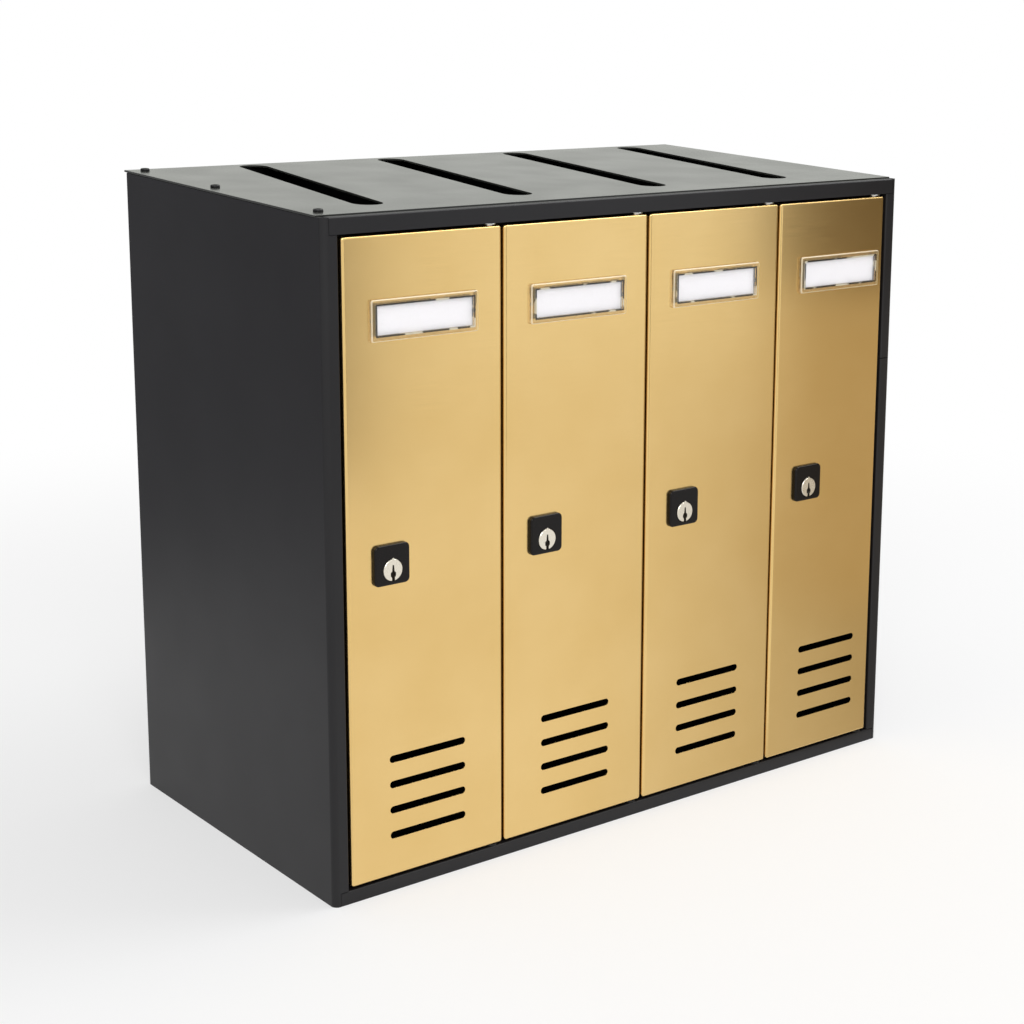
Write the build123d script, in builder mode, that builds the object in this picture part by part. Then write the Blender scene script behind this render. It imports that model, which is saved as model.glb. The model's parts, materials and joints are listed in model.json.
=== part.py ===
from build123d import *
import math
import os

os.makedirs("parts", exist_ok=True)

# A bank of four tall letter boxes in one sheet-steel cabinet, in millimetres.
# X runs to the right, Y to the back and Z up. The origin is under the middle of the whole unit.

# Cabinet
width = 456.0
height = 400.0
depth = 238.0
roof_rise = 12.0
roof_step = 0.8
sheet = 1.2
seam = 0.25
overrun = 5.0
corner_radius = 4.0
edge_radius = 1.0
stile_width = 10.0
frame_lap = 7.0
top_rail_height = 9.7
bottom_rail_height = 8.0
rail_flange = 22.0
panel_flange = 14.0
floor_flange = 13.0
stile_joint_height = 277.0

# Places of the four boxes, measured from the left side
door_count = 4
first_line = 10.3
last_line_beyond = 1.1
door_gap = 1.6
stile_gap = 2.0
rail_gap = 1.5

# Door: a folded pan that opens to the right
door_depth = 11.0
door_sheet = 1.2
door_edge_radius = 2.0
door_rim_radius = 1.6
vent_length = 54.0
vent_height = 4.5
vent_pitch = 15.7
vent_count = 4
vent_above_door = 25.3

# Hinge: a pin at each end of the door, turning in a flanged bush in the rail
hinge_inset = 6.0
hinge_behind_face = 5.0
pin_diameter = 5.0
pin_reach = 5.5
pin_head_diameter = 7.0
pin_head_height = 2.5
bush_diameter = 7.0
bush_length = 4.6
bush_collar_diameter = 9.0
bush_collar_height = 0.9
foot_collar_height = 1.2
running_clearance = 0.1

# Catch flange behind each door's free edge, where the lock's cam takes hold
catch_gap = 1.2
catch_width = 12.0

# Lock
lock_from_line = 31.0
plate_size = 24.0
plate_thickness = 2.5
plate_corner = 3.2
plate_bevel = 1.2
plate_above_plug = 3.0
plug_diameter = 12.8
plug_proud = 0.6
plug_chamfer = 0.3
nib_diameter = 1.6
nib_clearance = 0.2
key_slot_depth = 6.0
key_tip_width = 1.0
key_tip_above = 3.0
key_slot_width = 1.6
key_foot_width = 3.6
key_foot_below = 0.6
key_foot_slope = 1.0
key_foot_length = 3.8
key_mouth_width = 2.0
barrel_diameter = 18.0
barrel_length = 12.9
nut_across_flats = 23.0
nut_thickness = 3.0
cam_gap = 0.3
cam_thickness = 1.5
cam_width = 14.0
cam_reach = 25.0
tang_width = 6.0
cam_screw_diameter = 4.0
cam_screw_length = 8.0
cam_screw_head_diameter = 8.0
cam_screw_head_height = 2.2
screw_slot_width = 1.0
screw_slot_depth = 0.8

# Name plate
window_length = 73.6
window_height = 24.0
window_thickness = 2.6
window_corner = 1.5
window_bevel = 1.2
window_face = 1.0
window_below_top = 47.8
pocket_length = 66.6
pocket_height = 17.2
card_clearance = 0.2
card_thickness = 0.4
peg_diameter = 2.4
peg_length = 2.6

# Letter slots in the roof, set at a slight angle to the sides
slot_width = 19.0
slot_front = 31.0
slot_back = 6.0
slot_first_centre = 70.0
slot_pitch_less = 4.2
slot_angle = 9.5

# Roof screws along the left side
roof_screw_inset = 10.0
roof_screw_front = 20.0
roof_screw_back = 9.0
roof_screw_middle_share = 0.56
roof_screw_diameter = 3.8
roof_screw_length = 7.0
roof_screw_head_diameter = 5.8
roof_screw_head_height = 1.6

# Wall fixing holes in the back
wall_hole_diameter = 7.0
wall_hole_side = 38.0
wall_hole_low = 50.0
wall_hole_below_top = 50.0

# Places worked out from the sizes
proud = plate_thickness + plug_proud
front = (proud - depth) / 2
back = front + depth
left = -width / 2
right = width / 2
pitch = (width - first_line + last_line_beyond) / door_count
door_bottom = bottom_rail_height + rail_gap
top_rail_low = height - top_rail_height
door_top = top_rail_low - rail_gap
door_height = door_top - door_bottom
hinge_depth = front + hinge_behind_face
catch_front = front + door_depth + catch_gap
catch_back = catch_front + sheet
cam_front = catch_back + cam_gap
cam_back = cam_front + cam_thickness
lock_height = height / 2 - plate_above_plug
roof_front = front + frame_lap + seam
roof_slope = (roof_rise - roof_step) / (back - roof_front)
floor_back = back - sheet
inner_back = floor_back - sheet
flange_end = front + rail_flange


def level(z):
    """A horizontal sketch plane at the height z."""
    return Plane.XY.offset(z)


def upright(y):
    """A sketch plane parallel to the front, at the depth y, seen from the front."""
    return Plane.XZ.offset(-y)


def sideways(x):
    """A sketch plane parallel to the sides, with Y to its right and Z up."""
    return Plane.YZ.offset(x)


def roof_top(y):
    """The height of the roof's upper face at the depth y."""
    return height + roof_step + roof_slope * (y - roof_front)


def roof_plane(x, y, below):
    """A plane parallel to the roof, set down from its upper face."""
    point = (x, y, roof_top(y) - below)
    return Plane(origin=point, x_dir=(1, 0, 0), z_dir=(0, -roof_slope, 1))


def line_at(index):
    """The line between two boxes, counted from the first one's left."""
    return left + first_line + pitch * index


def door_sides(index):
    """The left and right edges of a door, cut short where a stile stands in its place."""
    start = line_at(index) + door_gap / 2
    end = line_at(index + 1) - door_gap / 2
    start = max(start, left + stile_width + stile_gap)
    end = min(end, right - stile_width - stile_gap)
    return start, end


def door_centre(index):
    """The middle of a door's full place."""
    return line_at(index) + pitch / 2


def hinge_x(index):
    return door_sides(index)[1] - hinge_inset


def lock_x(index):
    return line_at(index) + lock_from_line


def slab(x0, x1, y0, y1, z0, z1):
    """A block between two corners, added to the part that is being built."""
    with BuildSketch(level(z0)) as base:
        with Locations(((x0 + x1) / 2, (y0 + y1) / 2)):
            Rectangle(x1 - x0, y1 - y0)
    extrude(base.sketch, amount=z1 - z0)


def round_corner(sketch, x, y, radius):
    """Rounds the sketch's corner that lies nearest to a point."""
    corner = sketch.vertices().sort_by_distance((x, y, 0))[0]
    fillet(corner, radius=radius)


def finish(part, name):
    """Names a piece and writes it out."""
    part.label = name
    export_step(part, f"parts/{name}.step")


def rail_end(side):
    """Where a rail butts against the side panel's rounded front corner."""
    return side * (width / 2 - corner_radius - 2 * seam)


def make_rail(z0, z1, flange, rounded):
    """A channel between the side panels: a face, an outer lip and a flange that carries the hinges.

    flange is the flange's lower face, and rounded is the height of the edge that is bent round.
    """
    start = rail_end(-1)
    with BuildPart() as rail:
        with BuildSketch(sideways(start)) as face:
            with BuildLine():
                Polyline(
                    (front, z0),
                    (front + frame_lap, z0),
                    (front + frame_lap, z1),
                    (front, z1),
                    close=True,
                )
            make_face()
            round_corner(face, front, rounded, edge_radius)
        extrude(amount=2 * rail_end(1))
        slab(start, rail_end(1), front + frame_lap / 2, flange_end, flange, flange + sheet)
        with BuildSketch(sideways(start)):
            with BuildLine():
                Polyline(
                    (front + sheet, z0 + sheet),
                    (flange_end, z0 + sheet),
                    (flange_end, z1 - sheet),
                    (front + sheet, z1 - sheet),
                    close=True,
                )
            make_face()
        extrude(amount=2 * rail_end(1), mode=Mode.SUBTRACT)
        with BuildSketch(level(flange)):
            for index in range(door_count):
                with Locations((hinge_x(index), hinge_depth)):
                    Circle(bush_diameter / 2)
        extrude(amount=sheet, mode=Mode.SUBTRACT)
    return rail.part


# Top and bottom rails
finish(make_rail(top_rail_low, height, top_rail_low, height), "top_rail")
finish(make_rail(0, bottom_rail_height, bottom_rail_height - sheet, bottom_rail_height), "bottom_rail")


def roof_screw_depths():
    """Where the roof screws stand, from front to back."""
    first = front + roof_screw_front
    last = back - roof_screw_back
    return [first, first + roof_screw_middle_share * (last - first), last]


def drill_roof_screws(below, thickness):
    """Cuts the roof screws' holes through the sheet that lies below the roof's upper face."""
    for y in roof_screw_depths():
        with BuildSketch(roof_plane(left + roof_screw_inset, y, below)) as bore:
            Circle(roof_screw_diameter / 2 + running_clearance)
        extrude(bore.sketch, amount=thickness, both=True, mode=Mode.SUBTRACT)


def make_side(side, with_catch):
    """A side panel in one sheet: web, back return, sloping top flange, and the stile at the front.

    side is -1 for the left panel and 1 for the right. The left one's stile goes on into the first
    door's catch, and its top flange takes the roof screws. The right stile has a slit across it.
    """
    outer = side * width / 2
    web = outer - side * sheet
    flange_edge = outer - side * panel_flange
    stub = outer - side * (corner_radius + seam)
    stile = outer - side * stile_width
    catch_end = stile - side * catch_width
    under_front = roof_top(roof_front) - sheet
    under_back = roof_top(back) - sheet
    with BuildPart() as panel:
        with BuildSketch(level(0)) as plan:
            with BuildLine():
                Polyline(
                    (stub, front),
                    (outer, front),
                    (outer, back),
                    (flange_edge, back),
                    (flange_edge, back - sheet),
                    (web, back - sheet),
                    (web, front + sheet),
                    (stub, front + sheet),
                    close=True,
                )
            make_face()
            round_corner(plan, outer, front, corner_radius)
            round_corner(plan, web, front + sheet, corner_radius - sheet)
            round_corner(plan, outer, back, corner_radius)
            round_corner(plan, web, back - sheet, corner_radius - sheet)
        extrude(amount=height + roof_rise)
        with BuildSketch(sideways(-width)):
            with BuildLine():
                Polyline(
                    (front, 0),
                    (back, 0),
                    (back, under_back),
                    (roof_front, under_front),
                    (roof_front, height),
                    (front, height),
                    close=True,
                )
            make_face()
        extrude(amount=2 * width, mode=Mode.INTERSECT)
        with BuildSketch(sideways(min(outer, flange_edge))):
            with BuildLine():
                Polyline(
                    (roof_front, under_front),
                    (back - corner_radius, roof_top(back - corner_radius) - sheet),
                    (back - corner_radius, roof_top(back - corner_radius) - 2 * sheet),
                    (roof_front, under_front - sheet),
                    close=True,
                )
            make_face()
        extrude(amount=panel_flange)
        bend = panel.edges().filter_by(
            lambda e: abs(e.center().X - outer) < seam and e.center().Z > height - 2 * sheet
        )
        fillet(bend.sort_by(SortBy.LENGTH)[-1], radius=edge_radius)
        with BuildSketch(level(bottom_rail_height + seam)) as fold:
            with BuildLine():
                points = [(stub, front), (stile, front), (stile, catch_front)]
                if with_catch:
                    points += [(catch_end, catch_front), (catch_end, catch_back)]
                    leg = catch_back
                else:
                    leg = catch_front
                points += [
                    (stile + side * sheet, leg),
                    (stile + side * sheet, front + sheet),
                    (stub, front + sheet),
                ]
                Polyline(*points, close=True)
            make_face()
            round_corner(fold, stile, front, edge_radius)
        extrude(amount=top_rail_low - bottom_rail_height - 2 * seam)
        if with_catch:
            drill_roof_screws(sheet, 2 * sheet)
        else:
            with BuildSketch(level(stile_joint_height)):
                with Locations(((stub + stile) / 2, front)):
                    Rectangle(stile_width, 4 * sheet)
            extrude(amount=2 * seam, mode=Mode.SUBTRACT)
    return panel.part


# Side panels
finish(make_side(-1, True), "left_side_panel")
finish(make_side(1, False), "right_side_panel")

# Roof: a sloping sheet with four letter slots, a step above the top rail and folded down at the back
slot_middle = (front + slot_front + back - slot_back) / 2
slot_length = (depth - slot_front - slot_back) / math.cos(math.radians(slot_angle))
slot_pitch = pitch - slot_pitch_less
with BuildPart() as roof:
    with BuildSketch(sideways(left)):
        with BuildLine():
            Polyline(
                (roof_front, roof_top(roof_front)),
                (back, roof_top(back)),
                (back, roof_top(back) - sheet),
                (roof_front, roof_top(roof_front) - sheet),
                close=True,
            )
        make_face()
    extrude(amount=width)
    fold = left + panel_flange + seam
    fold_low = height + roof_rise - panel_flange
    slab(fold, -fold, back - sheet, back, fold_low, height + roof_rise - sheet / 2)
    fillet(roof.edges().filter_by(Axis.X).group_by(Axis.Z)[-1], radius=sheet / 2)
    for index in range(door_count):
        with BuildSketch(level(height - 2 * overrun)):
            with Locations((left + slot_first_centre + slot_pitch * index, slot_middle)):
                SlotOverall(slot_length, slot_width, rotation=90 - slot_angle)
        extrude(amount=4 * overrun + roof_rise, mode=Mode.SUBTRACT)
    drill_roof_screws(0, 2 * sheet)
finish(roof.part, "roof_panel")

# Roof screws: pan heads seated square on the slope
with BuildPart() as roof_screws:
    for y in roof_screw_depths():
        seat = roof_plane(left + roof_screw_inset, y, 0)
        with BuildSketch(seat):
            Circle(roof_screw_head_diameter / 2)
        extrude(amount=roof_screw_head_height)
        with BuildSketch(seat):
            Circle(roof_screw_diameter / 2)
        extrude(amount=-roof_screw_length)
        with BuildSketch(seat.offset(roof_screw_head_height)):
            Rectangle(roof_screw_head_diameter - 2 * screw_slot_width, screw_slot_width)
            Rectangle(screw_slot_width, roof_screw_head_diameter - 2 * screw_slot_width)
        extrude(amount=-screw_slot_depth, mode=Mode.SUBTRACT)
    rims = roof_screws.edges().filter_by(GeomType.CIRCLE).filter_by(
        lambda e: e.radius > roof_screw_head_diameter / 2 - seam
        and e.center().Z > roof_top(e.center().Y) + roof_screw_head_height / 2
    )
    fillet(rims, radius=roof_screw_head_height / 2)
finish(roof_screws.part, "roof_screws")

# Floor: a tray with its sides turned up against the side panels, on which the back panel stands
with BuildPart() as floor:
    with BuildSketch(level(0)) as tray:
        with Locations((0, (roof_front + floor_back) / 2)):
            Rectangle(width - 2 * sheet, floor_back - roof_front)
        round_corner(tray, left + sheet, floor_back, corner_radius - sheet)
        round_corner(tray, right - sheet, floor_back, corner_radius - sheet)
    extrude(amount=sheet)
    for x in (left + sheet, right - 2 * sheet):
        slab(x, x + sheet, flange_end + seam, back - corner_radius, 0, floor_flange)
finish(floor.part, "floor_panel")

# Back, with its wall fixing holes
with BuildPart() as back_panel:
    with BuildSketch(upright(back - sheet)):
        with BuildLine():
            Polyline(
                (left + corner_radius, sheet),
                (right - corner_radius, sheet),
                (right - corner_radius, roof_top(inner_back) - sheet),
                (left + corner_radius, roof_top(inner_back) - sheet),
                close=True,
            )
        make_face()
        with Locations(
            (left + wall_hole_side, wall_hole_low),
            (right - wall_hole_side, wall_hole_low),
            (left + wall_hole_side, height - wall_hole_below_top),
            (right - wall_hole_side, height - wall_hole_below_top),
        ):
            Circle(wall_hole_diameter / 2, mode=Mode.SUBTRACT)
    extrude(amount=sheet)
finish(back_panel.part, "back_panel")


def make_divider(index):
    """The wall between two boxes, with the catch flange for the door on its right."""
    x0 = line_at(index) - sheet / 2
    with BuildPart() as divider:
        with BuildSketch(sideways(x0)):
            with BuildLine():
                Polyline(
                    (catch_front, bottom_rail_height),
                    (flange_end + seam, bottom_rail_height),
                    (flange_end + seam, sheet),
                    (inner_back, sheet),
                    (inner_back, roof_top(inner_back) - sheet),
                    (flange_end + seam, roof_top(flange_end + seam) - sheet),
                    (flange_end + seam, top_rail_low),
                    (catch_front, top_rail_low),
                    close=True,
                )
            make_face()
        extrude(amount=sheet)
        slab(x0, x0 + catch_width, catch_front, catch_back, bottom_rail_height, top_rail_low)
    return divider.part


for index in range(1, door_count):
    finish(make_divider(index), f"divider_{index}")


def make_bushes(z, way, collar_height):
    """Four flanged bushes in a rail.

    z is the face that the collars lie on, and way is 1 where the rail is above it and -1 below.
    """
    with BuildPart() as bushes:
        for index in range(door_count):
            with BuildSketch(level(z)):
                with Locations((hinge_x(index), hinge_depth)):
                    Circle(bush_collar_diameter / 2)
            extrude(amount=-way * collar_height)
            with BuildSketch(level(z)):
                with Locations((hinge_x(index), hinge_depth)):
                    Circle(bush_diameter / 2)
            extrude(amount=way * bush_length)
            with BuildSketch(level(z)):
                with Locations((hinge_x(index), hinge_depth)):
                    Circle(pin_diameter / 2 + running_clearance)
            extrude(amount=bush_length, both=True, mode=Mode.SUBTRACT)
    return bushes.part


finish(make_bushes(top_rail_low, 1, bush_collar_height), "hinge_bushes_top")
finish(make_bushes(bottom_rail_height, -1, foot_collar_height), "hinge_bushes_bottom")


def peg_places(index):
    """The two pegs of a name window, as places on the door's face."""
    reach = (window_length + pocket_length) / 4
    z = door_top - window_below_top
    return [(door_centre(index) - reach, z), (door_centre(index) + reach, z)]


def make_door(index):
    """A folded pan with rounded upright edges, vents, and holes for the lock, window and pins."""
    x0, x1 = door_sides(index)
    middle = (x0 + x1) / 2
    span = x1 - x0
    cut = 2 * door_sheet
    with BuildPart() as door:
        with BuildSketch(level(door_bottom)) as plan:
            with Locations((middle, front + door_depth / 2)):
                Rectangle(span, door_depth)
            round_corner(plan, x0, front, door_edge_radius)
            round_corner(plan, x1, front, door_edge_radius)
        extrude(amount=door_height)
        rims = door.edges().group_by(Axis.Z)[0] + door.edges().group_by(Axis.Z)[-1]
        fillet(rims.filter_by(lambda e: e.center().Y < front + door_depth - seam), radius=door_rim_radius)
        with BuildSketch(level(door_bottom + door_sheet)) as hollow:
            with Locations((middle, front + door_sheet + door_depth / 2)):
                Rectangle(span - 2 * door_sheet, door_depth)
            inner_radius = door_edge_radius - door_sheet
            round_corner(hollow, x0 + door_sheet, front + door_sheet, inner_radius)
            round_corner(hollow, x1 - door_sheet, front + door_sheet, inner_radius)
        extrude(amount=door_height - 2 * door_sheet, mode=Mode.SUBTRACT)
        with BuildSketch(upright(front)):
            for row in range(vent_count):
                with Locations((door_centre(index), door_bottom + vent_above_door + row * vent_pitch)):
                    SlotOverall(vent_length, vent_height)
            with Locations((lock_x(index), lock_height)):
                Circle(barrel_diameter / 2 + running_clearance)
            with Locations(*peg_places(index)):
                Circle(peg_diameter / 2 + running_clearance)
        extrude(amount=cut, both=True, mode=Mode.SUBTRACT)
        with BuildSketch(level(door_bottom)):
            with Locations((hinge_x(index), hinge_depth)):
                Circle(pin_diameter / 2)
        extrude(amount=door_height, mode=Mode.SUBTRACT)
    return door.part


def make_pins(index):
    """The two hinge pins of a door, each with its head inside the pan."""
    with BuildPart() as pins:
        for face, way in ((door_top, 1), (door_bottom, -1)):
            head_face = face - way * door_sheet
            reach = door_sheet + rail_gap + pin_reach if way > 0 else door_sheet + rail_gap + bush_length
            with BuildSketch(level(head_face)):
                with Locations((hinge_x(index), hinge_depth)):
                    Circle(pin_head_diameter / 2)
            extrude(amount=-way * pin_head_height)
            with BuildSketch(level(head_face)):
                with Locations((hinge_x(index), hinge_depth)):
                    Circle(pin_diameter / 2)
            extrude(amount=way * reach)
    return pins.part


def make_window(index):
    """A clear cover with bevelled edges, a pocket for the card and two pegs through the door."""
    x = door_centre(index)
    z = door_top - window_below_top
    with BuildPart() as window:
        with BuildSketch(upright(front)):
            with Locations((x, z)):
                RectangleRounded(window_length, window_height, window_corner)
        extrude(amount=window_thickness)
        chamfer(window.faces().sort_by(Axis.Y)[0].edges(), length=window_bevel)
        with BuildSketch(upright(front)):
            with Locations((x, z)):
                Rectangle(pocket_length, pocket_height)
        extrude(amount=window_thickness - window_face, mode=Mode.SUBTRACT)
        with BuildSketch(upright(front)):
            with Locations(*peg_places(index)):
                Circle(peg_diameter / 2)
        extrude(amount=-peg_length)
    return window.part


def make_card(index):
    """The paper card behind the window, against the door's face."""
    with BuildPart() as card:
        with BuildSketch(upright(front)):
            with Locations((door_centre(index), door_top - window_below_top)):
                Rectangle(pocket_length - 2 * card_clearance, pocket_height - 2 * card_clearance)
        extrude(amount=card_thickness)
    return card.part


def make_plate(index):
    """The square cap of the lock, bored for the plug."""
    with BuildPart() as plate:
        with BuildSketch(upright(front)):
            with Locations((lock_x(index), lock_height + plate_above_plug)):
                RectangleRounded(plate_size, plate_size, plate_corner)
        extrude(amount=plate_thickness)
        fillet(plate.faces().sort_by(Axis.Y)[0].edges(), radius=plate_bevel)
        with BuildSketch(upright(front)):
            with Locations((lock_x(index), lock_height)):
                Circle(plug_diameter / 2 + 2 * running_clearance)
        extrude(amount=plate_thickness, mode=Mode.SUBTRACT)
    return plate.part


def make_barrel(index):
    """The lock's fixed sleeve, which the plug turns in."""
    with BuildPart() as barrel:
        with BuildSketch(upright(front)):
            with Locations((lock_x(index), lock_height)):
                Circle(barrel_diameter / 2)
                Circle(plug_diameter / 2 + running_clearance, mode=Mode.SUBTRACT)
        extrude(amount=-barrel_length)
    return barrel.part


def make_nut(index):
    """The hexagon nut that holds the lock in the door."""
    with BuildPart() as nut:
        with BuildSketch(upright(front + door_sheet)):
            with Locations((lock_x(index), lock_height)):
                RegularPolygon(nut_across_flats / 2, 6, major_radius=False)
                Circle(barrel_diameter / 2, mode=Mode.SUBTRACT)
        extrude(amount=-nut_thickness)
    return nut.part


def make_plug(index):
    """The turning plug, with a square tang for the cam and a tapped hole behind.

    Its key slot is open at the foot, and a small nib on its rim shows which way it is turned.
    """
    x = lock_x(index)
    face = front - proud
    with BuildPart() as plug:
        with BuildSketch(upright(face)):
            with Locations((x, lock_height)):
                Circle(plug_diameter / 2)
        extrude(amount=face - cam_front)
        chamfer(plug.faces().sort_by(Axis.Y)[0].edges(), length=plug_chamfer)
        with BuildSketch(upright(cam_front)):
            with Locations((x, lock_height)):
                Rectangle(tang_width, tang_width)
        extrude(amount=-cam_thickness)
        with BuildSketch(upright(face)):
            with Locations((x, lock_height + plug_diameter / 2)):
                Circle(nib_diameter / 2)
        extrude(amount=nib_clearance - plug_proud)
        foot_top = lock_height - key_foot_below
        foot_end = foot_top - key_foot_length
        with BuildSketch(upright(face)):
            with BuildLine():
                Polyline(
                    (x - key_tip_width / 2, lock_height + key_tip_above),
                    (x - key_slot_width / 2, foot_top),
                    (x - key_foot_width / 2, foot_top - key_foot_slope),
                    (x - key_foot_width / 2, foot_end + key_foot_slope),
                    (x - key_mouth_width / 2, foot_end),
                    (x - key_mouth_width / 2, lock_height - plug_diameter),
                    (x + key_mouth_width / 2, lock_height - plug_diameter),
                    (x + key_mouth_width / 2, foot_end),
                    (x + key_foot_width / 2, foot_end + key_foot_slope),
                    (x + key_foot_width / 2, foot_top - key_foot_slope),
                    (x + key_slot_width / 2, foot_top),
                    (x + key_tip_width / 2, lock_height + key_tip_above),
                    close=True,
                )
            make_face()
        extrude(amount=-key_slot_depth, mode=Mode.SUBTRACT)
        with BuildSketch(upright(cam_back)):
            with Locations((x, lock_height)):
                Circle(cam_screw_diameter / 2)
        extrude(amount=cam_screw_length, mode=Mode.SUBTRACT)
    return plug.part


def make_cam(index):
    """The flat cam on the plug's tang. It hangs down when the lock is open."""
    length = cam_reach + cam_width / 2
    with BuildPart() as cam:
        with BuildSketch(upright(cam_front)):
            with Locations((lock_x(index), lock_height + cam_width / 2 - length / 2)):
                SlotOverall(length, cam_width, rotation=90)
            with Locations((lock_x(index), lock_height)):
                Rectangle(tang_width, tang_width, mode=Mode.SUBTRACT)
        extrude(amount=-cam_thickness)
    return cam.part


def make_cam_screw(index):
    """The screw that keeps the cam on the plug."""
    x = lock_x(index)
    with BuildPart() as screw:
        with BuildSketch(upright(cam_back)):
            with Locations((x, lock_height)):
                Circle(cam_screw_head_diameter / 2)
        extrude(amount=-cam_screw_head_height)
        with BuildSketch(upright(cam_back)):
            with Locations((x, lock_height)):
                Circle(cam_screw_diameter / 2)
        extrude(amount=cam_screw_length)
        with BuildSketch(upright(cam_back + cam_screw_head_height)):
            with Locations((x, lock_height)):
                Rectangle(cam_screw_head_diameter, screw_slot_width)
        extrude(amount=screw_slot_depth, mode=Mode.SUBTRACT)
    return screw.part


# The four doors with all that they carry
for index in range(door_count):
    number = index + 1
    finish(make_door(index), f"door_{number}")
    finish(make_pins(index), f"hinge_pins_{number}")
    finish(make_window(index), f"name_window_{number}")
    finish(make_card(index), f"name_card_{number}")
    finish(make_plate(index), f"lock_plate_{number}")
    finish(make_barrel(index), f"lock_barrel_{number}")
    finish(make_nut(index), f"lock_nut_{number}")
    finish(make_plug(index), f"lock_plug_{number}")
    finish(make_cam(index), f"lock_cam_{number}")
    finish(make_cam_screw(index), f"cam_screw_{number}")
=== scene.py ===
# %% [markdown]
# # A bank of four letter boxes, dressed for the camera
#
# The construction comes ready made: every sheet, door, lock and screw is already in its place.
# This lesson gives each of them its finish, models the clear name windows anew, since the eye goes
# to them, and adds the wafers inside the key slots. Lengths are in metres unless a name says mm.

# %% Load the frame
import json
import math

import bpy
import numpy as np
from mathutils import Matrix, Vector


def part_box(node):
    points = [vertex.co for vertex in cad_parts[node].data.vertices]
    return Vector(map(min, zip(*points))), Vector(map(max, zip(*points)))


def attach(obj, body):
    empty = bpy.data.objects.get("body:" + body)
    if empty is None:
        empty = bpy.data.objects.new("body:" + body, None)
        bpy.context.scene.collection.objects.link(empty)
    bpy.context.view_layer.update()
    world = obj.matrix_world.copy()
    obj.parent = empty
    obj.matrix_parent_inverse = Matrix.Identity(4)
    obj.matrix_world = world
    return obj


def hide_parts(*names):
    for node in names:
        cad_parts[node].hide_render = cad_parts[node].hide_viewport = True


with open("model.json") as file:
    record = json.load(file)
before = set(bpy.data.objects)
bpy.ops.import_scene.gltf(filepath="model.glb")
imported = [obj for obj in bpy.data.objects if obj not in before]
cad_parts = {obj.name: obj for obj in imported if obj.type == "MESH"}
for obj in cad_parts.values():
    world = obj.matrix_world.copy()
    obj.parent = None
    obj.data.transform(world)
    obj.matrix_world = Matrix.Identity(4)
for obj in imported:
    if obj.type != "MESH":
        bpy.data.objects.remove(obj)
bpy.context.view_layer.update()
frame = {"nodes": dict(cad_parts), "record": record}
nodes = frame["nodes"]
scene = bpy.context.scene

# %% [markdown]
# ## Units and colours
# Real finishes are described in millimetres and in sRGB colours, so two tiny functions turn those
# into what Blender wants. sRGB is a curve made for screens. Light adds up on a straight line,
# so each colour is turned back to linear before it is used.

# %% Units and colours
MM = 0.001


def linear(hex_colour):
    """sRGB hex to linear RGBA: v / 12.92 near black, ((v + 0.055) / 1.055) ** 2.4 above."""
    text = hex_colour.lstrip("#")
    srgb = np.array([int(text[i:i + 2], 16) for i in (0, 2, 4)]) / 255
    low = srgb / 12.92
    high = ((srgb + 0.055) / 1.055) ** 2.4
    return (*np.where(srgb <= 0.04045, low, high).tolist(), 1.0)


print("mid grey in linear light:", [round(v, 3) for v in linear("#808080")[:3]])

# %% [markdown]
# ## Building materials from nodes
# A material is a small graph. One function adds any node with its settings, and fills its inputs
# either with plain values or with the output of another node, which makes a link.

# %% A node helper


def add_node(tree, kind, inputs=None, **settings):
    """Adds a node, sets its properties, and fills inputs with values or with links."""
    node = tree.nodes.new(kind)
    for name, value in settings.items():
        setattr(node, name, value)
    for name, value in (inputs or {}).items():
        if isinstance(value, bpy.types.NodeSocket):
            tree.links.new(value, node.inputs[name])
        else:
            node.inputs[name].default_value = value
    return node


print("node helper ready:", add_node.__name__)

# %% [markdown]
# ## One recipe for every finish
# Up close no surface is even. Its tone drifts in slow clouds, its gloss changes in patches, and a
# fine relief tilts it this way and that. One function makes a material from these three patterns.
# Each pattern is noise at the point's own place on the unit, so its grain is given in millimetres.

# %% A recipe for finishes
MIDDLE = (0.3, 0.7)
COLOUR_A, COLOUR_B, MIXED_COLOUR = 6, 7, 2


def grain(tree, size_mm, stretch=(1, 1, 1), detail=2.0):
    """Noise with grains size_mm wide, longer along an axis where stretch is above one."""
    own_place = add_node(tree, "ShaderNodeTexCoord").outputs["Object"]
    scaled = add_node(tree, "ShaderNodeMapping", {
        "Vector": own_place,
        "Scale": [1 / s for s in stretch],
    })
    noise = add_node(tree, "ShaderNodeTexNoise", {
        "Vector": scaled.outputs["Vector"],
        "Scale": 1 / (size_mm * MM),
        "Detail": detail,
    })
    return noise.outputs["Fac"]


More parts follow.
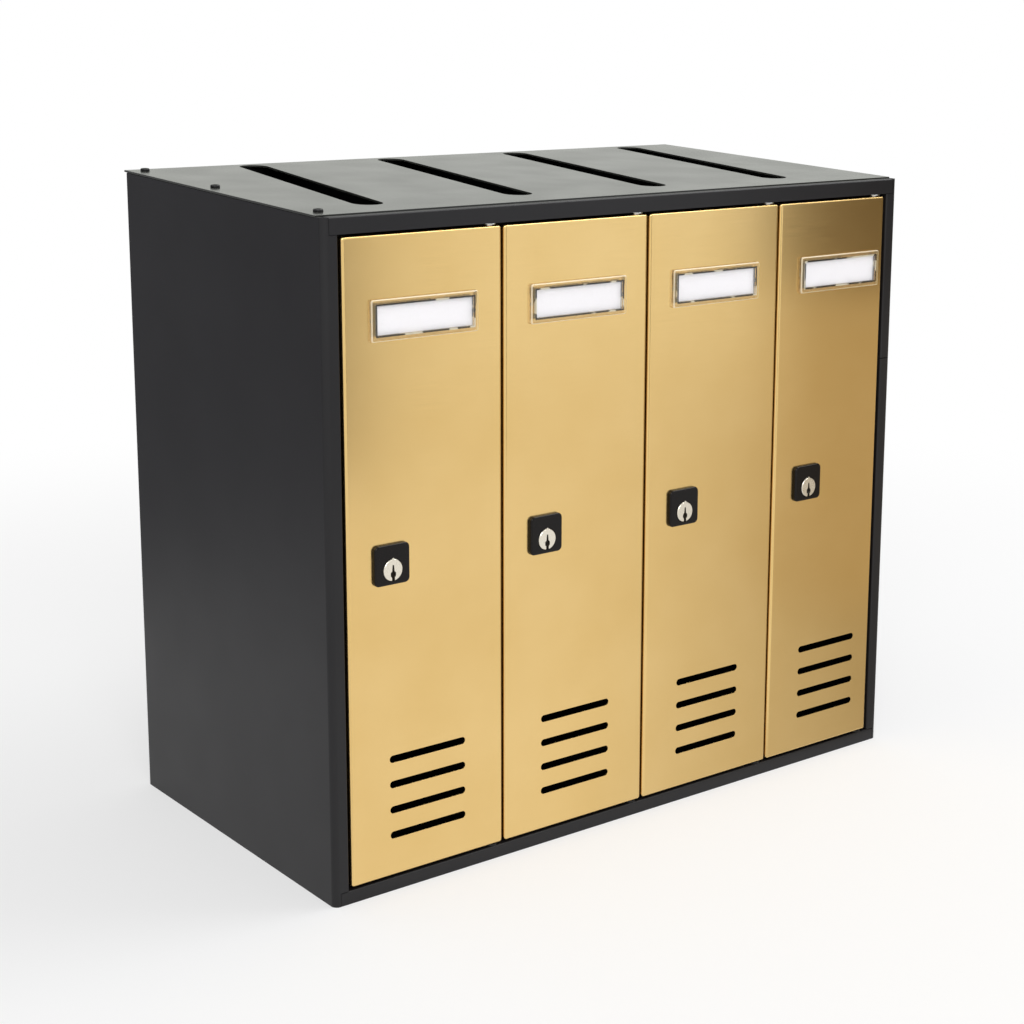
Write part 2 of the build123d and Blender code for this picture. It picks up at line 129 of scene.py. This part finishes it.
def finish(name, tones, clouds, gloss, patches, relief_mm, relief, middle=MIDDLE, **inputs):
    """A Principled material whose tone and roughness move between two values each.

    clouds, patches and relief are the grains that drive its tone, its roughness and its slope.
    middle is the part of the noise that is spread over the two tones, as noise seldom reaches 0 or 1.
    """
    material = bpy.data.materials.new(name)
    material.use_nodes = True
    tree = material.node_tree
    shader = tree.nodes["Principled BSDF"]
    for key, value in inputs.items():
        shader.inputs[key.replace("_", " ")].default_value = value
    tone = add_node(tree, "ShaderNodeMapRange", {
        "Value": grain(tree, **clouds),
        "From Min": middle[0],
        "From Max": middle[1],
    })
    mix = add_node(tree, "ShaderNodeMix", {
        "Factor": tone.outputs["Result"],
        COLOUR_A: linear(tones[0]),
        COLOUR_B: linear(tones[1]),
    }, data_type="RGBA")
    rough = add_node(tree, "ShaderNodeMapRange", {
        "Value": grain(tree, **patches),
        "From Min": MIDDLE[0],
        "From Max": MIDDLE[1],
        "To Min": gloss[0],
        "To Max": gloss[1],
    })
    slope = add_node(tree, "ShaderNodeBump", {
        "Height": grain(tree, **relief),
        "Distance": relief_mm * MM,
    })
    tree.links.new(mix.outputs[MIXED_COLOUR], shader.inputs["Base Color"])
    tree.links.new(rough.outputs["Result"], shader.inputs["Roughness"])
    tree.links.new(slope.outputs["Normal"], shader.inputs["Normal"])
    return material


print("noise between", MIDDLE, "is spread over the two tones of a finish")

# %% [markdown]
# ## Powder coat
# The cabinet is steel sheet with a baked powder coat in anthracite. The powder melts into a film
# that is smooth to the hand but not flat: under a lamp it shows a fine orange peel. Real orange
# peel is about a millimetre across. It is drawn slightly coarser here so that it shows at all.
# The roof has the same coat in a glossier grade, so at a flat angle it mirrors the bright studio.

# %% Powder coat
SLOW_CLOUDS = {"size_mm": 90, "detail": 3.0}
SLOW_PATCHES = {"size_mm": 40, "detail": 1.0}
ORANGE_PEEL = {"size_mm": 1.6, "detail": 1.0}

# Satin coat, nearly black, with a fine orange peel
body_coat = finish(
    "anthracite_powder_coat", ("#171618", "#1C1B1D"), SLOW_CLOUDS,
    gloss=(0.415, 0.445), patches=SLOW_PATCHES, relief_mm=0.012, relief=ORANGE_PEEL, Specular_IOR_Level=0.31)
# Glossier coat, flat enough to mirror
roof_coat = finish(
    "gloss_powder_coat", ("#2C2D2A", "#31322E"), SLOW_CLOUDS,
    gloss=(0.18, 0.23), patches=SLOW_PATCHES, relief_mm=0.002, relief=ORANGE_PEEL, IOR=1.5)
print("cabinet materials:", body_coat.name, roof_coat.name)

# %% [markdown]
# ## Gold anodised aluminium
# The doors are brushed, then anodised and dyed gold. Dye sits in the clear oxide, so the metal
# under it keeps its shine: a full metallic shader with a gold base colour. Brushing runs across
# the sheet. Its lines are a few hundredths of a millimetre wide, far too fine to show, so
# they are drawn about half a millimetre wide and long, with very little depth.

# %% Gold anodised aluminium
BRUSHING = {"size_mm": 0.5, "stretch": (70, 1, 1)}

# Satin metal, brushed across the sheet
gold = finish(
    "gold_anodised_aluminium", ("#E2BF7D", "#E7C585"), {"size_mm": 60, "detail": 3.0},
    gloss=(0.22, 0.27), patches=BRUSHING, relief_mm=0.0007, relief=BRUSHING, Metallic=1.0)
print("door material:", gold.name)

# %% [markdown]
# ## Plated and blackened metal, plastic and paper
# The lock and its nut are nickel-plated brass, and its cam and cam screw are zinc-plated steel.
# Handling leaves faint upright marks on plating, drawn less than half a millimetre wide. The
# hinges are bright turned steel. The lock's plate is glossy black moulded plastic, the roof screws
# are steel with a black oxide, and the name card is uncoated paper with short fibres.

# %% Small parts
HANDLING = {"size_mm": 0.4, "stretch": (1, 1, 6)}
MOULD_SKIN = {"size_mm": 0.8, "detail": 1.0}
FIBRES = {"size_mm": 0.6, "stretch": (3, 1, 1), "detail": 3.0}

# Bright satin plating with a warm cast
nickel = finish(
    "nickel_plated_brass", ("#E1DACA", "#E8E1D2"), HANDLING,
    gloss=(0.24, 0.33), patches=HANDLING, relief_mm=0.003, relief=HANDLING, Metallic=1.0)
# Duller, cooler plating
zinc = finish(
    "zinc_plated_steel", ("#B3B5B1", "#BFC0BB"), HANDLING,
    gloss=(0.33, 0.44), patches=HANDLING, relief_mm=0.003, relief=HANDLING, Metallic=1.0)
# Bright turned steel
polished_steel = finish(
    "polished_steel", ("#D2D3D1", "#D9DAD8"), HANDLING,
    gloss=(0.15, 0.24), patches=HANDLING, relief_mm=0.002, relief=HANDLING, Metallic=1.0)
# Glossy moulded skin
black_plastic = finish(
    "black_moulded_abs", ("#100D0C", "#141110"), MOULD_SKIN,
    gloss=(0.14, 0.20), patches=SLOW_PATCHES, relief_mm=0.002, relief=MOULD_SKIN, Specular_IOR_Level=0.17)
# Satin oxide, slightly mottled
black_steel = finish(
    "black_oxide_steel", ("#131313", "#191919"), MOULD_SKIN,
    gloss=(0.32, 0.40), patches=MOULD_SKIN, relief_mm=0.002, relief=MOULD_SKIN, Specular_IOR_Level=0.3)
# Brass painted near black: painted shade for the dark inside the key slot
brass_painted_shade = finish(
    "brass_wafers_painted_shade", ("#120E09", "#1A150D"), HANDLING,
    gloss=(0.45, 0.55), patches=HANDLING, relief_mm=0.004, relief=HANDLING, Specular_IOR_Level=0.1)
# Matt paper with short fibres
paper = finish(
    "uncoated_card", ("#EFEDF0", "#F4F2F6"), FIBRES,
    gloss=(0.80, 0.90), patches=FIBRES, relief_mm=0.01, relief=FIBRES)
print("small parts:", nickel.name, zinc.name, polished_steel.name, black_plastic.name)

# %% [markdown]
# ## Clear acrylic in four parts
# A clear cover shows four tones. Its face lets the card through. Its rim shows the gold behind it
# through more plastic, with a faint tint. Light runs inside the plastic and comes out at its
# bevelled edges, so a paler, less clear colour is painted there as a highlight. At the walls of
# the card's pocket the light is turned away, so a dark colour with lighter gaps is painted there
# and in a ring on the face, as painted reflection and shade. Each of them gets a material of its
# own, so every one is simple.

# %% Clear acrylic
MOULD_WAVES = {"size_mm": 5, "detail": 1.0}
# The light gaps in the dark line round the card, which is painted reflection and shade
DARK_REFLECTION_GAPS = {"size_mm": 9, "detail": 0.0}

# The face: nearly all of the card shows through
acrylic_face = finish(
    "clear_acrylic_face", ("#FFFFFF", "#FBFBFA"), MOULD_WAVES,
    gloss=(0.05, 0.07), patches=MOULD_WAVES, relief_mm=0.004, relief=MOULD_WAVES, IOR=1.49, Alpha=0.1)
# The rim: thicker, so it tints the gold behind it
acrylic_rim = finish(
    "clear_acrylic_rim", ("#E9D3A2", "#EDD9AB"), MOULD_WAVES,
    gloss=(0.05, 0.07), patches=MOULD_WAVES, relief_mm=0.004, relief=MOULD_WAVES, IOR=1.49, Alpha=0.16)
# The bevelled edge: a painted highlight, paler and less clear, for the light that comes out of it
acrylic_painted_highlight = finish(
    "clear_acrylic_painted_highlight", ("#F9EACB", "#FDF1D8"), MOULD_WAVES,
    gloss=(0.05, 0.07), patches=MOULD_WAVES, relief_mm=0.004, relief=MOULD_WAVES, IOR=1.49, Alpha=0.6)
# The pocket's wall: painted dark reflection and shade, a dark line with lighter gaps
acrylic_painted_dark_reflection = finish(
    "clear_acrylic_painted_dark_reflection", ("#2A2823", "#C4BDA8"), DARK_REFLECTION_GAPS,
    gloss=(0.18, 0.22), patches=MOULD_WAVES, relief_mm=0.002, relief=MOULD_WAVES,
    middle=(0.55, 0.62), IOR=1.49, Alpha=0.92)
print("acrylic:", acrylic_face.name, acrylic_rim.name, acrylic_painted_highlight.name, acrylic_painted_dark_reflection.name)

# %% [markdown]
# ## Who gets which finish
# The record names a material slot for every ready-made piece, and this table turns each slot
# into a finish. One piece departs from it: the lower hinge bushes get the black steel finish as
# painted shade, since nobody sees them gleam in the dark gap under the doors.

# %% Finishes of the ready-made pieces
FINISHES = {
    "cabinet_powder_coat": body_coat,
    "roof_gloss_coat": roof_coat,
    "black_screw": black_steel,
    "hinge_steel": polished_steel,
    "gold_door": gold,
    "clear_window": acrylic_rim,
    "name_card": paper,
    "lock_plate": black_plastic,
    "lock_nickel": nickel,
    "zinc_steel": zinc,
}
for subpart in frame["record"]["subparts"]:
    slots = nodes[subpart["node"]].material_slots
    if not slots:
        nodes[subpart["node"]].data.materials.append(FINISHES[subpart["material_slot"]])
    for slot in slots:
        slot.material = FINISHES[subpart["material_slot"]]
# Painted shade: the lower hinge bushes take black steel for the dark gap under the doors
nodes["hinge_bushes_bottom"].material_slots[0].material = black_steel
print("finishes:", len(FINISHES))

# %% [markdown]
# ## Soft edges
# No folded or stamped sheet has a knife edge: each edge carries a hair of light. The frame's
# meshes are loose triangles, so they are welded, their flat faces are joined again, their edges
# are bevelled by a fraction of a millimetre, and the normals are smoothed across the bevel.
# These are modifiers, so the meshes underneath stay as they came.

# %% Soft edges
WELD = 0.002 * MM
FLAT_ANGLE = math.radians(0.3)
EDGE_ANGLE = math.radians(32)
SHEET_EDGE = 0.25
FINE_EDGE = 0.08
FINE_PIECES = ("name_card", "lock_plug", "roof_screws")
BEVEL_SEGMENTS = 2
FLAT_FACE_WEIGHT = 100
smooth_group = bpy.data.node_groups.new("smooth_faces", "GeometryNodeTree")
smooth_group.interface.new_socket("Geometry", in_out="INPUT", socket_type="NodeSocketGeometry")
smooth_group.interface.new_socket("Geometry", in_out="OUTPUT", socket_type="NodeSocketGeometry")
entry = add_node(smooth_group, "NodeGroupInput")
smooth = add_node(smooth_group, "GeometryNodeSetShadeSmooth", {"Geometry": entry.outputs["Geometry"]})
add_node(smooth_group, "NodeGroupOutput", {"Geometry": smooth.outputs["Geometry"]})


def soften(piece, width_mm):
    """Rounds every edge sharper than EDGE_ANGLE by width_mm, and keeps flat faces flat."""
    weld = piece.modifiers.new("weld", "WELD")
    weld.merge_threshold = WELD
    flat = piece.modifiers.new("flat", "DECIMATE")
    flat.decimate_type = "DISSOLVE"
    flat.angle_limit = FLAT_ANGLE
    shade = piece.modifiers.new("shade", "NODES")
    shade.node_group = smooth_group
    bevel = piece.modifiers.new("bevel", "BEVEL")
    bevel.width = width_mm * MM
    bevel.segments = BEVEL_SEGMENTS
    bevel.limit_method = "ANGLE"
    bevel.angle_limit = EDGE_ANGLE
    normals = piece.modifiers.new("normals", "WEIGHTED_NORMAL")
    normals.mode = "FACE_AREA"
    normals.weight = FLAT_FACE_WEIGHT


for name, piece in nodes.items():
    if not name.startswith("name_window"):
        soften(piece, FINE_EDGE if name.startswith(FINE_PIECES) else SHEET_EDGE)
print("softened:", sum(1 for piece in nodes.values() if piece.modifiers))

# %% [markdown]
# ## Shells from rings
# A moulded cover can be thought of as one closed line, a rounded rectangle, that grows and
# shrinks as it moves from the front to the back of the piece. Each stop is a ring with the same
# number of points, so neighbouring rings are joined by a band of four-sided faces.

# %% Shells from rings
CORNER_STEPS = 8
SHARP_ANGLE = math.radians(30)


def rounded_ring(half_x, half_z, radius, out):
    """One ring, in mm: corner centre + radius * (cos a, sin a), for a quarter turn at each corner.

    It runs anticlockwise seen from the front, and out is how far it lies in front of the door.
    """
    quarter = np.linspace(0, np.pi / 2, CORNER_STEPS)
    angle = (quarter[None, :] + np.arange(4)[:, None] * np.pi / 2).ravel()
    signs = np.repeat([[1, 1], [-1, 1], [-1, -1], [1, -1]], CORNER_STEPS, axis=0)
    x = signs[:, 0] * (half_x - radius) + radius * np.cos(angle)
    z = signs[:, 1] * (half_z - radius) + radius * np.sin(angle)
    return np.stack([x, np.full_like(x, -out), z], axis=1)


def round_ring(radius, out, count):
    """One round ring: radius * (cos a, sin a), anticlockwise seen from the front."""
    angle = 2 * np.pi * np.arange(count) / count
    return np.stack([radius * np.cos(angle), np.full(count, -out), radius * np.sin(angle)], axis=1)


def shell(rings):
    """Points and faces of a closed shell: bands between neighbouring rings, and a cap at each end."""
    count, around = len(rings), len(rings[0])
    i, j = np.meshgrid(np.arange(count - 1), np.arange(around), indexing="ij")
    k = (j + 1) % around
    bands = np.stack([i * around + j, (i + 1) * around + j, (i + 1) * around + k, i * around + k], axis=-1)
    faces = [list(range(around))] + bands.reshape(-1, 4).tolist()
    faces.append(list(range(count * around - 1, (count - 1) * around - 1, -1)))
    return np.concatenate(rings), faces, [0] + i.ravel().tolist() + [count - 2]


def new_piece(name, points_mm, faces, face_materials, materials):
    """A mesh object at the origin, smooth except at edges sharper than SHARP_ANGLE."""
    mesh = bpy.data.meshes.new(name)
    mesh.from_pydata((np.asarray(points_mm) * MM).tolist(), [], faces)
    for material in materials:
        mesh.materials.append(material)
    mesh.polygons.foreach_set("material_index", face_materials)
    mesh.shade_smooth()
    mesh.set_sharp_from_angle(angle=SHARP_ANGLE)
    mesh.validate()
    piece = bpy.data.objects.new(name, mesh)
    scene.collection.objects.link(piece)
    return piece


print("points in a rounded ring:", 4 * CORNER_STEPS)

# %% [markdown]
# ## Name windows
# Each door carries a clear moulded cover with rounded edges. Behind its face is a shallow pocket
# for the name card, and two pegs at its ends go through the door. A ring of painted dark reflection
# and shade, as at the pocket's walls, is laid in the front face, where the eye sees it: a dark line
# round the card.

# %% Name windows
DOORS = (1, 2, 3, 4)
# The lengths of the window, here and below, are in mm
WINDOW_CORNER = 1.5
# Stops of the rounded edge: how far in from the outline, and how far back from the front
EDGE_PROFILE = ((1.1, 0.0), (0.7, 0.12), (0.3, 0.5), (0.08, 1.0), (0.0, 1.6))
# Stops between these two depths get the painted highlight, for the light that runs inside the plastic
PAINTED_HIGHLIGHT_DROP = (0.2, 1.2)
# From the outline in to the pocket, at the ends and at the long sides
POCKET_INSET = (3.5, 3.4)
FACE_THICKNESS = 1.0
# How far the dark line of painted reflection and shade reaches out and in from the pocket's outline
LINE_OUT = 0.75
LINE_IN = 0.25
# The pegs that go through the door
PEG_RADIUS = 1.2
PEG_LENGTH = 2.6
PEG_CHAMFER = 0.3
PEG_SIDES = 24
# Corner radius of the pocket, and how far its walls lean in
TINY = 0.05
# The four materials: clear face, tinted rim, painted highlight, and painted dark reflection and shade
FACE, RIM, EDGE, DARK_REFLECTION = range(4)


def name_window(number):
    """Rings carried from the clear face out over the rounded edge, round the back, into the pocket."""
    low, high = (np.array(corner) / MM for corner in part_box(f"name_window_{number}"))
    centre = (low + high) / 2
    half_x, half_z = (high - low)[0] / 2, (high - low)[2] / 2
    thick = (high - low)[1] - PEG_LENGTH
    pocket_x, pocket_z = half_x - POCKET_INSET[0], half_z - POCKET_INSET[1]
    ceiling = thick - FACE_THICKNESS
    rings = [
        rounded_ring(pocket_x - LINE_IN, pocket_z - LINE_IN, TINY, thick),
        rounded_ring(pocket_x + LINE_OUT, pocket_z + LINE_OUT, TINY, thick),
    ]
    # The first band lies in the front face: the painted dark line round the card
    kinds = [DARK_REFLECTION]
    for inset, drop in EDGE_PROFILE:
        rings.append(rounded_ring(half_x - inset, half_z - inset, WINDOW_CORNER - inset, thick - drop))
        # Bands between those depths take the painted highlight material
        kinds.append(EDGE if PAINTED_HIGHLIGHT_DROP[0] < drop < PAINTED_HIGHLIGHT_DROP[1] else RIM)
    rings.append(rounded_ring(half_x, half_z, WINDOW_CORNER, 0.0))
    kinds.append(RIM)
    rings.append(rounded_ring(pocket_x, pocket_z, TINY, 0.0))
    kinds.append(RIM)
    rings.append(rounded_ring(pocket_x - TINY, pocket_z - TINY, TINY, ceiling))
    kinds.append(DARK_REFLECTION)
    points, faces, bands = shell(rings)
    # The caps at both ends are clear, and each band has the kind of its own stop
    materials = [FACE] + [kinds[band] for band in bands[1:-1]] + [FACE]
    for side in (-1, 1):
        reach = side * (half_x + pocket_x) / 2
        peg, peg_faces, peg_bands = shell([
            round_ring(PEG_RADIUS, 0.0, PEG_SIDES),
            round_ring(PEG_RADIUS, PEG_CHAMFER - PEG_LENGTH, PEG_SIDES),
            round_ring(PEG_RADIUS - PEG_CHAMFER, -PEG_LENGTH, PEG_SIDES),
        ])
        faces += [[index + len(points) for index in face] for face in peg_faces]
        points = np.vstack([points, peg + [reach, 0, 0]])
        materials += [RIM] * len(peg_bands)
    points = points + [centre[0], high[1] - PEG_LENGTH, centre[2]]
    return new_piece(
        f"window_{number}", points, faces, materials,
        [acrylic_face, acrylic_rim, acrylic_painted_highlight, acrylic_painted_dark_reflection])


for number in DOORS:
    piece = name_window(number)
    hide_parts(f"name_window_{number}")
    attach(piece, f"door_{number}")
    print(piece.name, "faces:", len(piece.data.polygons))

# %% [markdown]
# ## Wafers behind the key slot
# A key slot looks black because a stack of thin wafers stands across it, a millimetre inside, in
# shade; the wafers' near-black colour is painted shade.
# One prism with the slot's own outline closes it at that depth, and turns with the plug.

# %% Wafers
# The lengths of plug and wafers are in mm
PLUG_RADIUS = 6.4
# The slot's right side from its tip down: half its width, and the height over the plug's middle
SLOT_SIDE = ((0.45, 2.9), (0.75, -0.6), (1.75, -1.6), (1.75, -3.4), (0.95, -4.4), (0.95, -6.0))
# Four rings behind the plug's face, and how far each lies inside the slot's outline
WAFER_DEPTHS = (1.1, 2.0, 2.0, 5.9)
WAFER_INSETS = (0.0, 0.0, 0.15, 0.15)


def wafers(number):
    """The slot's outline, mirrored left to right, carried back along four depths."""
    low, high = (np.array(corner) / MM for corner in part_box(f"lock_plug_{number}"))
    right = np.array(SLOT_SIDE)[::-1]
    outline = np.vstack([right, np.array(SLOT_SIDE) * [-1, 1]])
    rings = []
    for depth, inset in zip(WAFER_DEPTHS, WAFER_INSETS):
        x = outline[:, 0] - np.sign(outline[:, 0]) * inset
        rings.append(np.stack([x, np.full_like(x, depth), outline[:, 1]], axis=1))
    points, faces, bands = shell(rings)
    centre = [(low[0] + high[0]) / 2, low[1], low[2] + PLUG_RADIUS]
    return new_piece(f"key_wafers_{number}", points + centre, faces, [0] * len(faces), [brass_painted_shade])


for number in DOORS:
    piece = wafers(number)
    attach(piece, f"lock_{number}")
print("wafers:", len(DOORS))

# %% [markdown]
# ## White studio
# The unit stands on a white floor in a white studio. Diffuse light from the surroundings is kept
# below full white, but the camera and mirror-like reflections see them as plain white. A light
# path node tells the two apart. The floor keeps the unit's soft shadow.

# %% White surroundings
FLOOR_RADIUS = 6.0
# Between these distances from the middle the floor turns to plain white
FADE_START = 0.5
FADE_END = 1.2
# Diffuse light from all round, as a share of full white
SKY_LEVEL = 0.72
# The glow that lifts the dimmed floor
FLOOR_LIFT = 0.5
FLOOR_RINGS = 24
FLOOR_SIDES = 96
WHITE = linear("#FFFFFF")


def seen_directly(tree):
    """1 for camera rays, reflections and rays through glass, 0 for diffuse light."""
    path = add_node(tree, "ShaderNodeLightPath")
    bright = path.outputs["Is Camera Ray"]
    for kind in ("Is Glossy Ray", "Is Transmission Ray"):
        either = add_node(tree, "ShaderNodeMath", {0: bright, 1: path.outputs[kind]}, operation="MAXIMUM")
        bright = either.outputs[0]
    return bright


def disc(name, radius_m, rings, sides):
    """A flat disc: point (i, j) lies at radius * i / rings, turned by 2 pi j / sides."""
    r = radius_m * np.arange(1, rings + 1)[:, None] / rings
    a = 2 * np.pi * np.arange(sides)[None, :] / sides
    grid = np.stack([r * np.cos(a), r * np.sin(a), np.zeros((rings, sides))], axis=-1)
    i, j = np.meshgrid(np.arange(rings - 1), np.arange(sides), indexing="ij")
    k = (j + 1) % sides
    bands = np.stack([i * sides + j, (i + 1) * sides + j, (i + 1) * sides + k, i * sides + k], axis=-1)
    mesh = bpy.data.meshes.new(name)
    mesh.from_pydata(grid.reshape(-1, 3).tolist(), [], [list(range(sides))] + bands.reshape(-1, 4).tolist())
    made = bpy.data.objects.new(name, mesh)
    scene.collection.objects.link(made)
    return made


floor = disc("floor", FLOOR_RADIUS, FLOOR_RINGS, FLOOR_SIDES)
floor_paper = bpy.data.materials.new("white_paper_floor")
floor_paper.use_nodes = True
tree = floor_paper.node_tree
tree.nodes.clear()
own_place = add_node(tree, "ShaderNodeTexCoord").outputs["Object"]
reach = add_node(tree, "ShaderNodeVectorMath", {0: own_place}, operation="LENGTH")
far = add_node(tree, "ShaderNodeMapRange", {
    "Value": reach.outputs["Value"],
    "From Min": FADE_START,
    "From Max": FADE_END,
}, interpolation_type="SMOOTHSTEP")
# Matt white throws light back on the unit, and is never seen itself
matt = add_node(tree, "ShaderNodeBsdfDiffuse", {"Color": linear("#EDEDED")})
# Near the unit the floor takes its shadow, on a dimmed paper lifted by a glow
dimmed = add_node(tree, "ShaderNodeBsdfDiffuse", {"Color": linear("#AAAAAA")})
lift = add_node(tree, "ShaderNodeEmission", {"Color": WHITE, "Strength": FLOOR_LIFT})
near = add_node(tree, "ShaderNodeAddShader", {0: dimmed.outputs[0], 1: lift.outputs[0]})
white = add_node(tree, "ShaderNodeEmission", {"Color": WHITE, "Strength": 1.0})
fade = add_node(tree, "ShaderNodeMixShader", {
    0: far.outputs["Result"],
    1: near.outputs[0],
    2: white.outputs[0],
})
shown = add_node(tree, "ShaderNodeMixShader", {
    0: seen_directly(tree),
    1: matt.outputs[0],
    2: fade.outputs[0],
})
add_node(tree, "ShaderNodeOutputMaterial", {"Surface": shown.outputs[0]})
floor.data.materials.append(floor_paper)

world = bpy.data.worlds.new("studio")
scene.world = world
world.use_nodes = True
tree = world.node_tree
tree.nodes.clear()
level = add_node(tree, "ShaderNodeMapRange", {
    "Value": seen_directly(tree),
    "To Min": SKY_LEVEL,
    "To Max": 1.0,
})
background = add_node(tree, "ShaderNodeBackground", {
    "Color": WHITE,
    "Strength": level.outputs["Result"],
})
add_node(tree, "ShaderNodeOutputWorld", {"Surface": background.outputs[0]})
print("studio: floor of", FLOOR_RADIUS, "m, white world")

# %% [markdown]
# ## Lamps
# Two soft boxes model the shapes: a large one high at the front left, and one overhead that
# draws the thin bright lines along the upper edges.

# %% Lamps


def facing(place_m, aim_m):
    """The turn that points an object's own minus Z from place_m to aim_m."""
    back = np.array(place_m) - np.array(aim_m)
    return (math.atan2(math.hypot(back[0], back[1]), back[2]), 0, math.atan2(back[0], -back[1]))


def softbox(name, place_m, aim_m, size_m, watts):
    """A square area lamp at place_m that faces aim_m."""
    data = bpy.data.lights.new(name, "AREA")
    data.size = size_m
    data.energy = watts
    made = bpy.data.objects.new(name, data)
    made.location = place_m
    made.rotation_euler = facing(place_m, aim_m)
    scene.collection.objects.link(made)
    return made


key = softbox("key_softbox", place_m=(-1.3, -1.9, 1.9), aim_m=(0, 0, 0.2), size_m=1.4, watts=26)
top = softbox("overhead_softbox", place_m=(1.05, -0.4, 1.9), aim_m=(0, 0, 0.3), size_m=1.1, watts=16)
print("lamps:", key.name, top.name)

# %% [markdown]
# ## Cards around the unit
# Metal and gloss only look real when they have something to mirror. Photographers stand cards
# around such a piece, out of the picture: bright ones lift a surface, and dark ones draw it down.
# These cards are seen only in reflections. They neither light the unit nor shade it.

# %% Cards
# How far the line across the mirrored sight is turned from the unit's width
MIRRORED_SIGHT = math.radians(44)
FADE_SPAN = (-0.13, 0.12)


def card(name, corners, colour, level=1.0, fade_to=None):
    """A card with four corners in metres, of one colour or fading to another, fade_to.

    The fade runs over FADE_SPAN, measured across the sight line that the doors mirror.
    """
    mesh = bpy.data.meshes.new(name)
    mesh.from_pydata(corners, [], [(0, 1, 2, 3)])
    surface = bpy.data.materials.new(name + "_surface")
    surface.use_nodes = True
    tree = surface.node_tree
    tree.nodes.clear()
    glow = add_node(tree, "ShaderNodeEmission", {"Color": linear(colour), "Strength": level})
    if fade_to:
        own_place = add_node(tree, "ShaderNodeTexCoord").outputs["Object"]
        across = add_node(tree, "ShaderNodeVectorMath", {
            0: own_place,
            1: (math.cos(MIRRORED_SIGHT), math.sin(MIRRORED_SIGHT), 0),
        }, operation="DOT_PRODUCT")
        along = add_node(tree, "ShaderNodeMapRange", {
            "Value": across.outputs["Value"],
            "From Min": FADE_SPAN[0],
            "From Max": FADE_SPAN[1],
        })
        dark = add_node(tree, "ShaderNodeEmission", {"Color": linear(fade_to), "Strength": level})
        glow = add_node(tree, "ShaderNodeMixShader", {
            0: along.outputs["Result"],
            1: glow.outputs[0],
            2: dark.outputs[0],
        })
    add_node(tree, "ShaderNodeOutputMaterial", {"Surface": glow.outputs[0]})
    mesh.materials.append(surface)
    made = bpy.data.objects.new(name, mesh)
    scene.collection.objects.link(made)
    made.visible_camera = False
    made.visible_diffuse = False
    made.visible_shadow = False
    return made


def standing(start, end, low, high):
    """Corners of an upright card between two points of the floor, from low to high."""
    return [(*start, low), (*end, low), (*end, high), (*start, high)]


# At the right: dark above and warmer below, so the last door falls off into shade
card("dark_right", standing((0.367, -0.383), (0.80, 0.05), low=0.29, high=0.5), "#6E6454")
card("warm_right", standing((0.38, -0.39), (0.81, 0.04), low=0.0, high=0.29), "#C4B8A4")
# In front: a bright card for the middle doors, and a narrow grey one for the first door's left edge
card("bright_front", standing((0.533, -1.125), (0.842, -0.870), low=0.12, high=0.9), "#F4F8FF", level=1.2)
card("grey_left", standing((0.05, -0.542), (-0.04, -0.585), low=0.14, high=0.46), "#6A6A6A")
# On the floor: a cloth that darkens to the right, mirrored by the doors' lower halves
cloth_corners = [(-0.25, -0.125), (0.1, -1.3), (1.9, -1.3), (0.9, -0.125)]
card("fading_floor", [(*corner, MM) for corner in cloth_corners], "#FFFFFF", fade_to="#AFA89C")
# Behind: one for the side panel at the left, and a wide one for the roof
card("grey_back_left", standing((-0.95, 0.25), (-0.10, 0.75), low=0.0, high=0.9), "#A0A0A4")
card("grey_behind", standing((0.0, 2.2), (2.4, 0.9), low=0.0, high=1.6), "#E8EAE4")
print("cards stand at the right, in front, on the floor and behind")

# %% [markdown]
# ## Camera
# The photograph was taken from the front left and a little above, with a longish lens. Its
# uprights were straightened, as with a view camera. A small shift of the lens follows that part
# of the way, and keeps the unit in frame when the camera is moved to other sides.

# %% Camera
YAW = math.radians(37.05)
PITCH = math.radians(11.24)
CAMERA_PLACE = (-0.7701, -1.0056, 0.5006)
LENS_MM = 67.6
SHIFT = -0.1
camera_data = bpy.data.cameras.new("camera")
camera_data.lens = LENS_MM
camera_data.shift_y = SHIFT
camera = bpy.data.objects.new("camera", camera_data)
camera.location = CAMERA_PLACE
camera.rotation_euler = (math.pi / 2 - PITCH, 0, -YAW)
scene.collection.objects.link(camera)
scene.camera = camera
scene.view_settings.view_transform = "Standard"
print("camera at", CAMERA_PLACE, "with a lens of", LENS_MM, "mm")
